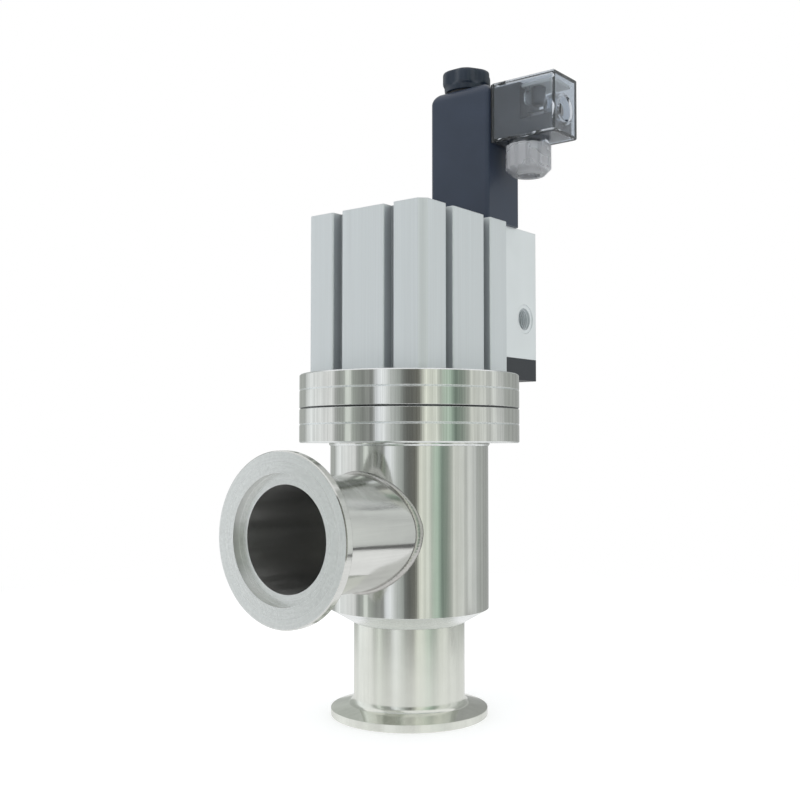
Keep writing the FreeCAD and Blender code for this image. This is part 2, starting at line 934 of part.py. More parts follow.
def channel_plug():
    start = Vector(pilot_x, pilot_back - channel_d, supply_z)
    plug = rod_between(channel_d / 2 - weld_fit, start, start + Y_AXIS * (channel_d - disc_edge))
    return plug


def pilot_cap():
    x1 = pilot_w / 2
    body = block(-x1, x1, half_block, pilot_back, cap_z, pilot_z)
    body = body.makeChamfer(pilot_edge, edges_like(body, is_upright))
    room = cylinder(groove_r, cap_floor_z(), pilot_z, pilot_x, pilot_y)
    body = body.cut(room)
    mid_z = (cap_floor_z() + pilot_z) / 2
    back = Vector(pilot_x, pilot_back, mid_z)
    body = body.cut(rod_between(channel_d / 2, Vector(pilot_x, pilot_y, mid_z), back))
    body = body.cut(rod_between(exhaust_d / 2, back - Y_AXIS * exhaust_depth, back))
    head_d = 2 * cap_screw_d
    for x, y in cap_screw_places():
        body = body.cut(cylinder(cap_screw_d / 2 + hole_gap, cap_z, pilot_z, x, y))
        body = body.cut(cylinder(head_d / 2 + head_gap, cap_z, cap_z + cap_screw_d, x, y))
    return body


def cap_floor_z():
    return cap_z + cap_screw_d / 2


def exhaust_filter():
    mid_z = (cap_floor_z() + pilot_z) / 2
    back = Vector(pilot_x, pilot_back, mid_z)
    return rod_between(exhaust_d / 2 - weld_fit, back - Y_AXIS * exhaust_depth, back - Y_AXIS * disc_edge)


def cap_screws():
    head_h = cap_screw_d - head_sink
    length = cap_h - cap_screw_d + cap_thread() - head_sink
    screw = socket_screw(cap_screw_d, 2 * cap_screw_d, head_h, cap_screw_key, length)
    screw.rotate(Vector(0, 0, 0), X_AXIS, 180)
    return [placed(screw, x, y, cap_z + cap_screw_d) for x, y in cap_screw_places()]


def pilot_screws():
    seat = pilot_back - head_sunk
    length = seat - half_block + pilot_thread
    screw = socket_screw(screw_d, screw_head_d, screw_head_h, screw_key, length)
    return [lying(screw, Y_AXIS, Vector(x, seat, z)) for x, z in pilot_screw_places()]


def spool():
    # Three lands on a thin neck, down at rest: the low land hangs below the body's bore.
    neck = spool_neck_d / 2
    low_top = pilot_z - rest_gap
    mid_top = supply_z - groove_w / 2 - rest_gap
    high_low = supply_z + groove_w
    outline = [
        (0, low_top - land_low),
        (spool_r, low_top - land_low),
        (spool_r, low_top),
        (neck, low_top),
        (neck, mid_top - land_low),
        (spool_r, mid_top - land_low),
        (spool_r, mid_top),
        (neck, mid_top),
        (neck, high_low),
        (spool_r, high_low),
        (spool_r, armature_z - spool_stroke - rest_gap),
        (neck, armature_z - spool_stroke - rest_gap),
        (neck, armature_z),
        (0, armature_z),
    ]
    return turned(outline, pilot_x, pilot_y)


def spool_spring():
    high = pilot_z - rest_gap - land_low
    return spring_coil(spool_spring_d, pilot_wire_d, spool_turns, cap_floor_z(), high, pilot_x, pilot_y)


def armature():
    hole_r = armature_r / 2
    outline = [
        (0, armature_z),
        (armature_r - disc_edge, armature_z),
        (armature_r, armature_z + disc_edge),
        (armature_r, armature_top),
        (hole_r, armature_top),
        (hole_r, armature_top - armature_r),
        (0, armature_top - armature_r),
    ]
    return turned(outline, pilot_x, pilot_y)


def armature_spring():
    low = armature_top - armature_r
    return spring_coil(armature_spring_d, pilot_wire_d, armature_turns, low, core_z, pilot_x, pilot_y)


def armature_tube():
    outline = [
        (tube_bore_r, tube_z),
        (tube_flange_d / 2 - weld_fit, tube_z),
        (tube_flange_d / 2 - weld_fit, pilot_top),
        (tube_r, pilot_top),
        (tube_r, coil_top + coil_seal_t),
        (tube_bore_r, coil_top + coil_seal_t),
    ]
    return turned(outline, pilot_x, pilot_y)


def fixed_core():
    top = coil_top + coil_seal_t
    core_r = tube_bore_r - weld_fit
    outline = [
        (0, core_z),
        (core_r, core_z),
        (core_r, top),
        (core_stud_d / 2, top),
        (core_stud_d / 2, top + core_stud_h),
        (0, top + core_stud_h),
    ]
    return turned(outline, pilot_x, pilot_y)


def override_z():
    return armature_z - override_tip_d


def override_seat_x():
    return pilot_x - armature_r - rest_gap


def override_pin():
    # Slotted pin whose eccentric tip turns below the armature.
    x1 = -pilot_w / 2
    inner = override_seat_x()
    start = Vector(x1, pilot_y, override_z())
    body = rod_between(override_d / 2, start, Vector(inner, pilot_y, override_z()))
    tip_z = override_z() - override_tip_d / 2
    tip = rod_between(override_tip_d / 2, Vector(inner, pilot_y, tip_z),
                      Vector(inner + override_reach, pilot_y, tip_z))
    slot = block(x1, x1 + override_slot, pilot_y - override_d, pilot_y + override_d,
                 override_z() - override_slot / 2, override_z() + override_slot / 2)
    return joined(body, tip).cut(slot)


# Coil and plug
def coil():
    body = rounded_box(coil_x0, coil_x1, coil_y0, coil_y1, pilot_top, coil_top, coil_round)

    def is_top_back(edge):
        box = edge.BoundBox
        across = box.YLength > coil_y1 - coil_y0 - 3 * coil_round
        return across and abs(box.ZMin - coil_top) < near and abs(box.XMax - coil_x0) < near

    body = body.makeFillet(coil_corner, edges_like(body, is_top_back))
    body = body.cut(cylinder(tube_r + run_fit, pilot_top, coil_top, pilot_x, pilot_y))
    screw_end = Vector(coil_x1 - plug_screw_grip - drill_spare, plug_y, plug_screw_z)
    return body.cut(rod_between(plug_screw_d / 2, screw_end, Vector(coil_x1, plug_y, plug_screw_z)))


def coil_seal():
    return ring(coil_seal_d / 2, tube_r + run_fit, coil_top, coil_top + coil_seal_t, pilot_x, pilot_y)


def coil_nut():
    # Lobed plastic nut: scalloped rim over a round skirt, dished top.
    low = coil_top + coil_seal_t
    high = low + coil_nut_h
    radius = coil_nut_d / 2
    crown = low + coil_nut_skirt
    body = turned([
        (0, low),
        (radius - coil_nut_skirt / 2, low),
        (radius, crown),
        (radius, high - nut_dish),
        (radius - nut_dish, high),
        (radius - 2 * nut_dish, high),
        (radius - 3 * nut_dish, high - nut_dish),
        (0, high - nut_dish),
    ], pilot_x, pilot_y)
    reach = radius - nut_scallop_depth + nut_scallop_d / 2
    for i in range(nut_lobes):
        angle = 2 * math.pi * (i + 0.5) / nut_lobes
        x = pilot_x + reach * math.cos(angle)
        y = pilot_y + reach * math.sin(angle)
        body = body.cut(cylinder(nut_scallop_d / 2, crown - nut_dish, high, x, y))
    stud_top = low + core_stud_h + rest_gap
    body = body.cut(cylinder(core_stud_d / 2 + thread_gap, low, stud_top, pilot_x, pilot_y))
    return body


def blade_places():
    # Two upright power blades beside the screw and one flat earth blade under it.
    return [(-blade_off, 0.0, False), (blade_off, 0.0, False), (0.0, -blade_off, True)]


def blade_box(grow, x0, x1):
    boxes = []
    for dy, dz, flat in blade_places():
        half_y = (blade_w if flat else blade_t) / 2 + grow
        half_z = (blade_t if flat else blade_w) / 2 + grow
        y = plug_y + dy
        z = plug_screw_z + dz
        boxes.append(block(x0, x1, y - half_y, y + half_y, z - half_z, z + half_z))
    return boxes


def coil_blades():
    return blade_box(0, coil_x1, coil_x1 + blade_l)


def plug_gasket():
    sheet = block(coil_x1, plug_x0, plug_y0 + gasket_in, plug_y1 - gasket_in,
                  plug_z0 + gasket_in, plug_z1 - gasket_in)
    for hole in blade_box(hole_gap, coil_x1, plug_x0):
        sheet = sheet.cut(hole)
    axis = Vector(coil_x1, plug_y, plug_screw_z)
    return sheet.cut(rod_between(plug_screw_d / 2 + hole_gap, axis, axis + X_AXIS * gasket_t))


def plug_axis(x):
    return Vector(x, plug_y, plug_screw_z)


def plug_housing():
    body = block(plug_x0, plug_x1, plug_y0, plug_y1, plug_z0, plug_z1)

    def is_outside(edge):
        return edge.BoundBox.XMax > plug_x0 + 1

    body = body.makeFillet(plug_round, edges_like(body, is_outside))
    body = joined(body, cylinder(collar_d / 2, plug_z0 - collar_h, plug_z0 + plug_wall, gland_x, plug_y))
    hollow = block(plug_x0, plug_x1 - plug_wall, plug_y0 + plug_wall, plug_y1 - plug_wall,
                   plug_z0 + plug_wall, plug_z1 - plug_wall)
    well_end = plug_x1 - well_depth - well_wall
    hollow = hollow.cut(rod_between(well_d / 2 + well_wall, plug_axis(well_end), plug_axis(plug_x1)))
    body = body.cut(hollow)
    body = body.cut(rod_between(well_d / 2, plug_axis(plug_x1 - well_depth), plug_axis(plug_x1)))
    body = body.cut(rod_between(plug_screw_d / 2 + hole_gap, plug_axis(well_end), plug_axis(plug_x1)))
    return body.cut(cylinder(collar_bore_d / 2, plug_z0 - collar_h, plug_z0 + plug_wall, gland_x, plug_y))


def terminal_block():
    # Dark insert that takes the blades, with a low shelf under the lamp.
    side = plug_wall + insert_gap
    y0 = plug_y0 + side
    y1 = plug_y1 - side
    z0 = plug_z0 + side
    body = block(plug_x0, insert_x1, y0, y1, z0, plug_z1 - side)
    body = joined(body, block(plug_x0, shelf_x1, y0, y1, z0, z0 + shelf_h))
    for hole in blade_box(hole_gap, plug_x0, coil_x1 + blade_l + hole_gap):
        body = body.cut(hole)
    body = body.cut(rod_between(plug_screw_d / 2 + hole_gap, plug_axis(plug_x0), plug_axis(plug_x1)))
    well = rod_between(well_d / 2 + well_wall + insert_gap, plug_axis(insert_x1 + insert_gap), plug_axis(plug_x1))
    body = body.cut(well)
    return body.cut(cylinder(collar_bore_d / 2 - gland_washer_t, z0, z0 + shelf_h / 2, gland_x, plug_y))


def board_z():
    return plug_z1 - plug_wall - board_gap - board_t


def circuit_board():
    side = plug_wall + insert_gap
    edge = side + gasket_t
    slab = block(insert_x1 + insert_gap, shelf_x1, plug_y0 + edge, plug_y1 - edge, board_z(), board_z() + board_t)
    return slab


def lamp():
    # Domed lamp hanging from the board on two leads.
    x = lamp_x
    y = plug_y0 + lamp_in
    top = board_z() - lamp_lead
    body = cylinder(lamp_d / 2, top - lamp_h + lamp_d / 2, top, x, y)
    body = joined(body, Part.makeSphere(lamp_d / 2, Vector(x, y, top - lamp_h + lamp_d / 2)))
    for side in (-1, 1):
        lead = cylinder(lead_d / 2, top, board_z(), x + side * lamp_d / 4, y)
        body = joined(body, lead)
    return body


def rectifier():
    low = board_z() - cell_h
    body = cylinder(cell_d / 2, low, board_z(), cell_x, plug_y0 + cell_in)
    bottom = edges_like(body, lambda edge: abs(edge.BoundBox.ZMax - low) < near)
    return body.makeChamfer(cell_d / 6, bottom)


def plug_screw():
    seat = plug_x1 - well_depth
    length = seat - coil_x1 + plug_screw_grip
    shank = cylinder(plug_screw_d / 2 - thread_gap, -length, 0)
    head = cylinder(plug_head_d / 2, 0, plug_head_h)
    head = head.makeFillet(plug_head_h / 3, edges_like(head, lambda edge: edge.BoundBox.ZMin > plug_head_h / 2))
    screw = joined(shank, head)
    slot = block(-plug_head_d, plug_head_d, -blade_t / 2, blade_t / 2, plug_head_h / 2, plug_head_h)
    return lying(screw.cut(slot), X_AXIS, plug_axis(seat))


def gland_nut():
    collar_z = plug_z0 - collar_h
    high = collar_z + gland_lap
    low = gland_z0
    radius = gland_nut_d / 2
    inner = collar_d / 2 + thread_gap
    body = turned([
        (cord_hole_d / 2 + hole_gap, low),
        (radius - collar_h / 2, low),
        (radius, low + collar_h / 2),
        (radius, high),
        (inner, high),
        (inner, collar_z - gland_washer_t),
        (collar_bore_d / 2 + thread_gap, low + collar_h / 2),
        (cord_hole_d / 2 + hole_gap, low + collar_h / 2),
    ], gland_x, plug_y)
    for i in range(gland_ribs):
        angle = 2 * math.pi * i / gland_ribs
        x = gland_x + (radius + rib_valley_out) * math.cos(angle)
        y = plug_y + (radius + rib_valley_out) * math.sin(angle)
        body = body.cut(cylinder(rib_valley_r, low, high, x, y))
    return body


def gland_seal():
    low = gland_z0 + collar_h / 2 + gland_washer_t
    return ring(collar_bore_d / 2 - hole_gap, cord_hole_d / 2, low, low + gland_seal_h, gland_x, plug_y)


def gland_washer():
    low = gland_z0 + collar_h / 2
    return ring(collar_bore_d / 2 - hole_gap, cord_hole_d / 2, low, low + gland_washer_t, gland_x, plug_y)


NODES = {
    "inlet_port": inlet_port,
    "outlet_port": outlet_port,
    "outlet_weld": outlet_weld,
    "valve_chamber": valve_chamber,
    "chamber_flange": chamber_flange,
    "chamber_seal": chamber_seal,
    "bonnet_flange": bonnet_flange,
    "flange_screws": flange_screws,
    "rod_bushing": rod_bushing,
    "rod_seal": rod_seal,
    "spigot_seal": spigot_seal,
    "valve_plate": valve_plate,
    "plate_oring": plate_oring,
    "stem_rod": stem_rod,
    "bellows": bellows,
    "piston": piston,
    "piston_seal": piston_seal,
    "magnet_ring": magnet_ring,
    "piston_nut": piston_nut,
    "return_spring": return_spring,
    "cylinder_barrel": cylinder_barrel,
    "block_screws": block_screws,
    "cylinder_head": cylinder_head,
    "head_seal": head_seal,
    "breather": breather,
    "retaining_ring": retaining_ring,
    "pilot_body": pilot_body,
    "port_seal": port_seal,
    "channel_plug": channel_plug,
    "pilot_cap": pilot_cap,
    "exhaust_filter": exhaust_filter,
    "cap_screws": cap_screws,
    "pilot_screws": pilot_screws,
    "spool": spool,
    "spool_spring": spool_spring,
    "armature": armature,
    "armature_spring": armature_spring,
    "armature_tube": armature_tube,
    "fixed_core": fixed_core,
    "override_pin": override_pin,
    "coil": coil,
    "coil_seal": coil_seal,
    "coil_nut": coil_nut,
    "coil_blades": coil_blades,
    "plug_gasket": plug_gasket,
    "plug_housing": plug_housing,
    "terminal_block": terminal_block,
    "circuit_board": circuit_board,
    "lamp": lamp,
    "rectifier": rectifier,
    "plug_screw": plug_screw,
    "gland_nut": gland_nut,
    "gland_seal": gland_seal,
    "gland_washer": gland_washer,
}


def solids_of(made):
    if isinstance(made, list):
        return [solid for shape in made for solid in shape.Solids]
    return made.Solids


os.makedirs("parts", exist_ok=True)
for name, make in NODES.items():
    solids = solids_of(make())
    whole = solids[0] if len(solids) == 1 else Part.makeCompound(solids)
    whole.exportStep("parts/" + name + ".step")
    print(name, len(solids), round(whole.Volume, 1), whole.isValid())
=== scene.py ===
import math

import bpy
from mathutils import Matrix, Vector
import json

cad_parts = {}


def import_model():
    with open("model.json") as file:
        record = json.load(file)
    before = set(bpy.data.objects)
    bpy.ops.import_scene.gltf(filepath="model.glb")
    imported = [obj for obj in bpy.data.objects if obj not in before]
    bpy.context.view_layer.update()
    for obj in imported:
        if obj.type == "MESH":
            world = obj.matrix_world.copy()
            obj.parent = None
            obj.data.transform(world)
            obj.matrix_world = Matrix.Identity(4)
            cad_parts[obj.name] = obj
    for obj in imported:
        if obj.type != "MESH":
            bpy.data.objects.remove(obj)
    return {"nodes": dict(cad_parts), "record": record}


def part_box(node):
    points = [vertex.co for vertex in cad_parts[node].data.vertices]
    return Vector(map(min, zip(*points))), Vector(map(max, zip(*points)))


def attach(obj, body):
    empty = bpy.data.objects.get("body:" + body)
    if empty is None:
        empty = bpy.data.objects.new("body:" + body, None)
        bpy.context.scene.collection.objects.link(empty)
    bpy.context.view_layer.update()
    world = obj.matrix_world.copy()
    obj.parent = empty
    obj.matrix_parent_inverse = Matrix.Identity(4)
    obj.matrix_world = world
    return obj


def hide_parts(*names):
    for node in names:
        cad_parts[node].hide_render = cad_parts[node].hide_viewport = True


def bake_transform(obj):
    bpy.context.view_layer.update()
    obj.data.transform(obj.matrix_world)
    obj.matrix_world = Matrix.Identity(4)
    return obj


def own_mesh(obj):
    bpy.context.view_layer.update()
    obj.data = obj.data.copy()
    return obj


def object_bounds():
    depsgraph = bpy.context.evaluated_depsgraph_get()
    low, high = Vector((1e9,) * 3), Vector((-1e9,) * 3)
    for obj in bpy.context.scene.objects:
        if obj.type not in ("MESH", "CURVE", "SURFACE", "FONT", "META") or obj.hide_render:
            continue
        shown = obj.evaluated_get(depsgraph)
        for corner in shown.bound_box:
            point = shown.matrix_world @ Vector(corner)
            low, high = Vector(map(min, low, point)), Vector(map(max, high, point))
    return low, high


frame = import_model()
cad_low, cad_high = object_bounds()

# Camera, found from the photograph. Lengths in metres, angles in degrees, the image in pixels.
IMAGE_PX = 800
FOCAL_PX = 1068.8
AXIS_PX = 409.3            # where the lens axis meets the image, from its left edge
SENSOR = 36.0              # millimetres, as Blender counts it
CAMERA_REACH = 0.38076     # from the valve's axis, in plan
CAMERA_TURN = 37.83        # from straight in front of the outlet, towards the valve's right
CAMERA_HEIGHT = 0.0936
CAMERA_TILT = 2.51         # upwards
CLIP = (0.02, 20.0)

# Studio
AMBIENT = 0.80
AMBIENT_TINT = (0.97, 0.99, 1.0)
LAMP_SIZE = 0.9
LAMP_REACH = 1.3
LAMPS = [("key", -50, 0.9, 3.2), ("fill", 65, 0.6, 1.6)]    # name, angle, height, watts
WALL_RADIUS = 1.5          # of the ring that carries the surroundings
WALL_LOW = -0.45
WALL_HIGH = 1.3
WALL_STEPS = 96
CLUTTER = 45.0             # small things in the surroundings, per turn
FLOOR_SIZE = 6.0
FLOOR_NEAR = 0.16          # the floor takes the shadow inside this distance
FLOOR_FAR = 0.42           # and is plain backdrop white from here on
FLOOR_LIFT = 0.3           # of backdrop white added where the camera sees the floor
TABLE_EDGE = 0.158         # behind the object, a strip that is dark where steel shows it
EDGE_DEPTH = 0.056
EDGE_FADE = 0.012
EDGE_LEFT = (0.07, 0.11)   # where the strip fades in, from left to right
EDGE_RIGHT = (0.19, 0.22)  # and out again
EDGE_TONE = 0.14
MIRROR_NEAR = 0.1          # steel shows mostly the floor inside this distance
MIRROR_FAR = 0.24          # and only the surroundings from here on
MIRROR_LEAST = 0.3         # share of the surroundings that it shows even close by

# What stands round the object and shows in the steel: (name, from, to, tone left, tone right).
# Angles run from the camera's side, positive to its right.
SURROUNDINGS = [
    ("back wall left", -180, -140, (0.50, 0.52, 0.50), (0.46, 0.48, 0.46)),
    ("window left", -122, -84, (1.02, 1.05, 1.06), (0.92, 0.93, 0.93)),
    ("flag left", -76, -69, (0.40, 0.42, 0.40), (0.36, 0.38, 0.36)),
    ("strip lamp", -66, -62, (1.15, 1.22, 1.15), (1.10, 1.15, 1.10)),
    ("room left", -59, -36, (0.38, 0.41, 0.38), (0.34, 0.35, 0.34)),
    ("soft box left", -32, -22, (1.06, 1.09, 1.14), (0.92, 0.95, 0.96)),
    ("grey wall", -19, -9, (0.66, 0.69, 0.68), (0.42, 0.45, 0.43)),
    ("camera stand", -6, 9, (0.20, 0.21, 0.20), (0.17, 0.17, 0.15)),
    ("soft box right", 15, 29, (0.87, 0.89, 0.80), (0.87, 0.91, 0.83)),
    ("green wall", 34, 43, (0.61, 0.72, 0.62), (0.42, 0.53, 0.45)),
    ("flag right", 47, 57, (0.26, 0.33, 0.28), (0.32, 0.36, 0.32)),
    ("window right", 66, 108, (0.80, 0.82, 0.77), (0.76, 0.78, 0.77)),
    ("back wall right", 118, 158, (0.46, 0.48, 0.46), (0.42, 0.43, 0.42)),
]

# Colours are written as they look on a screen, 0 to 255.
STEEL = (216, 217, 214)
STEEL_SATIN = (225, 227, 220)
STEEL_FACE = (235, 238, 238)
PORT_BORE = (204, 204, 203)
# the chamber's bore is lighter than the outer steel: partly its machined finish, partly painted light
# standing in for light that enters through the port
CHAMBER_BORE = (240, 245, 248)
BORE_ROUGHNESS = 0.42
FACE_ROUGHNESS = 0.26      # of turned faces, and of cones that aren't polished
FACE_RINGS = 0.09          # how much the rings on a turned face darken it
CONE_ROUGHNESS = 0.09      # of the flanges' polished backs
CONES_TOO = (0.25, 0.6)    # how far a surface looks along the axis where it turns dull
FLAT_ONLY = (0.975, 0.992)
STREAKS = 240.0            # tool marks and clouds on turned steel, per metre
BROAD_STREAKS = 0.03       # how fast the wide and the thin streaks change round the piece
THIN_STREAKS = 0.3
CLOUDS = 130.0
SPECKS = 1500.0
BRUSHED = 0.35
PORT_BORE_REACH = 0.0172   # bores inside this radius take their own tone
CHAMBER_BORE_REACH = 0.0252
PAINTED_SLOT_SHADE = 0.62          # painted shade down the barrel's slots
SLOT_DEPTH = 0.004
PAINTED_JOINT_SHADE = 0.28         # painted shade along the narrow gap between the two discs
JOINT_HALF = 0.0004
EXTRUSION_LINES = (1800.0, 1800.0, 14.0)    # per metre, fine across and long lengthwise
SOFT_EDGE = 0.0005         # edges of alloy and plastic catch the light as if rounded by this
SOFT_STEEL_EDGE = 0.00025
CLEAR_IOR = 1.5
SHARP_ANGLE = 28.0         # degrees between faces, from which an edge is drawn sharp

# Pieces made here, in metres
TUBE_RADIUS = 0.0195       # of the outlet's tube
SADDLE_STRETCH = 1.2       # the saddle's length against the tube's girth
BEAD_LEG = 0.0011          # of the saddle weld, along the tube and up the chamber
BEAD_CROWN = 0.00032
BEAD_RIPPLE = 0.00009
BEAD_PITCH = 0.0012
BEAD_SET_IN = 0.00003      # its two edges lie this deep in the steel
BEAD_UNEVEN = 0.07
BEAD_WAVES = [(0.5, 7, 1.0), (0.3, 17, 0.0), (0.2, 41, 2.0)]    # share, waves per turn, phase
BEAD_STEPS = 480
BEAD_SECTION = 8
BELLOWS_FOLDS = 10
BELLOWS_CUFF = 0.0025
BELLOWS_WALL = 0.0004
BELLOWS_ROOT = 0.0122
TURNED_STEPS = 144
SPRING_STEPS = 48          # along one turn
SPRING_SIDES = 12
SPRING_CLOSING = 0.075     # how far the end turns are drawn together
RETURN_SPRING = (5.5, 0.0022)    # turns and wire
SPOOL_SPRING = (3, 0.0005)
ARMATURE_SPRING = (5, 0.0005)
THREAD_PITCH = 0.000907
THREAD_DEPTH = 0.00028
THREAD_TURNS = 8
THREAD_START = 0.9         # turns behind the port's face
THREAD_ROOT = 0.00004      # its foot lies this deep in the bore's wall
THREAD_PROFILE = [(0.38, 0.0), (0.08, 1.0), (-0.08, 1.0), (-0.38, 0.0)]    # shares of pitch, depth
NUT_LOBES = 6
NUT_STEPS = 180
NUT_SCALLOP = 1.6          # above 1 the hollows are narrower than the lobes
NUT_SHARP_ANGLE = 50.0
# Share of the nut's height, then reach and depth of the scallops as shares of its radius.
NUT_OUTLINE = [
    (0.0, 0.84, 0.0), (0.02, 0.87, 0.0), (0.2, 0.89, 0.0), (0.25, 0.905, 0.02), (0.29, 0.96, 0.09),
    (0.34, 0.992, 0.14), (0.42, 1.0, 0.16), (0.8, 1.0, 0.16), (0.88, 0.99, 0.15), (0.95, 0.955, 0.12),
    (0.985, 0.91, 0.07), (1.0, 0.86, 0.03), (1.0, 0.74, 0.0), (0.98, 0.7, 0.0), (0.9, 0.66, 0.0),
    (0.87, 0.6, 0.0), (0.87, 0.46, 0.0), (0.84, 0.425, 0.0), (0.0, 0.425, 0.0),
]


def tone(red, green, blue):
    """A screen colour as linear light."""
    return tuple(
        c / 255 / 12.92 if c / 255 <= 0.04045 else ((c / 255 + 0.055) / 1.055) ** 2.4
        for c in (red, green, blue)
    )


class Finish:
    """One material and short calls for the nodes that colour, roughen and emboss it."""

    def __init__(self, name, colour, roughness, metallic=0.0, **sockets):
        self.material = bpy.data.materials.new(name)
        self.material.use_nodes = True
        self.tree = self.material.node_tree
        self.shader = self.tree.nodes["Principled BSDF"]
        self.colour = tone(*colour) + (1.0,)
        self.shader.inputs["Base Color"].default_value = self.colour
        self.shader.inputs["Roughness"].default_value = roughness
        self.shader.inputs["Metallic"].default_value = metallic
        for socket, value in sockets.items():
            self.shader.inputs[socket.replace("_", " ")].default_value = value
        coordinates = self.node("ShaderNodeTexCoord").outputs
        self.place = coordinates["Object"]
        self.facing = coordinates["Normal"]

    def node(self, kind, *inputs, **settings):
        made = self.tree.nodes.new(kind)
        for key, value in settings.items():
            setattr(made, key, value)
        for socket, value in zip(made.inputs, inputs):
            self.feed(socket, value)
        return made

    def feed(self, socket, value):
        if isinstance(value, bpy.types.NodeSocket):
            self.tree.links.new(value, socket)
        elif value is not None:
            socket.default_value = value

    def math(self, operation, a, b=None):
        return self.node("ShaderNodeMath", a, b, operation=operation).outputs[0]

    def stretched(self, x, y, z):
        """The place on the object, with each direction scaled to features per metre."""
        made = self.node("ShaderNodeMapping", self.place)
        made.inputs["Scale"].default_value = (x, y, z)
        return made.outputs[0]

    def polar(self, axis, centre):
        """Angle, radius and height about an axis, and how far a face looks along it and outwards."""
        moved = self.node("ShaderNodeVectorMath", self.place, tuple(centre), operation="SUBTRACT")
        parts = self.node("ShaderNodeSeparateXYZ", moved.outputs[0]).outputs
        looks = self.node("ShaderNodeSeparateXYZ", self.facing).outputs
        first, second, third = {"Z": (0, 1, 2), "Y": (0, 2, 1)}[axis]
        a, b, height = parts[first], parts[second], parts[third]
        angle = self.math("ARCTAN2", b, a)
        radius = self.math("SQRT", self.sum_of(a, a, b, b))
        outwards = self.math("DIVIDE", self.sum_of(a, looks[first], b, looks[second]), radius)
        return angle, radius, height, self.math("ABSOLUTE", looks[third]), outwards

    def sum_of(self, a, b, c, d):
        return self.math("ADD", self.math("MULTIPLY", a, b), self.math("MULTIPLY", c, d))

    def noise(self, vector, detail=2.0, scale=1.0, distortion=0.0):
        made = self.node("ShaderNodeTexNoise", vector)
        made.inputs["Scale"].default_value = scale
        made.inputs["Detail"].default_value = detail
        made.inputs["Distortion"].default_value = distortion
        return made.outputs["Fac"]

    def spread(self, value, low, high, from_low=0.3, from_high=0.7):
        made = self.node("ShaderNodeMapRange", value, from_low, from_high, low, high)
        return made.outputs[0]

    def shade(self, value, low, high, from_low=0.3, from_high=0.7, over=None):
        """Multiplies the colour, or the one in over, by low to high as value crosses its range."""
        share = self.spread(value, low, high, from_low, from_high)
        made = self.node("ShaderNodeMix", data_type="RGBA", blend_type="MULTIPLY")
        made.inputs[0].default_value = 1.0
        self.feed(made.inputs[6], over or self.colour)
        self.feed(made.inputs[7], share)
        self.feed(self.shader.inputs["Base Color"], made.outputs[2])
        return made.outputs[2]

    def mix(self, share, a, b):
        """One colour over another. Sockets 6 and 7 and output 2 of the node are those for colours."""
        made = self.node("ShaderNodeMix", data_type="RGBA")
        self.feed(made.inputs[0], share)
        self.feed(made.inputs[6], a)
        self.feed(made.inputs[7], b)
        self.feed(self.shader.inputs["Base Color"], made.outputs[2])
        return made.outputs[2]

    def roughen(self, value, low, high, from_low=0.3, from_high=0.7):
        self.feed(self.shader.inputs["Roughness"], self.spread(value, low, high, from_low, from_high))

    def emboss(self, value, depth, strength=1.0, over=None):
        made = self.node("ShaderNodeBump")
        made.inputs["Strength"].default_value = strength
        made.inputs["Distance"].default_value = depth
        self.feed(made.inputs["Height"], value)
        if over is not None:
            self.feed(made.inputs["Normal"], over)
        self.feed(self.shader.inputs["Normal"], made.outputs[0])
        return made.outputs[0]

    def soften(self, width):
        """Edges catch the light as if rounded by this much."""
        made = self.node("ShaderNodeBevel")
        made.samples = 4
        made.inputs["Radius"].default_value = width
        return made.outputs[0]

    def brushed(self, axis, amount):
        """Gloss drawn out across the tool marks of a piece turned about this axis."""
        tangent = self.node("ShaderNodeTangent", direction_type="RADIAL", axis=axis)
        self.feed(self.shader.inputs["Tangent"], tangent.outputs[0])
        self.shader.inputs["Anisotropic"].default_value = amount
        self.shader.inputs["Anisotropic Rotation"].default_value = 0.25


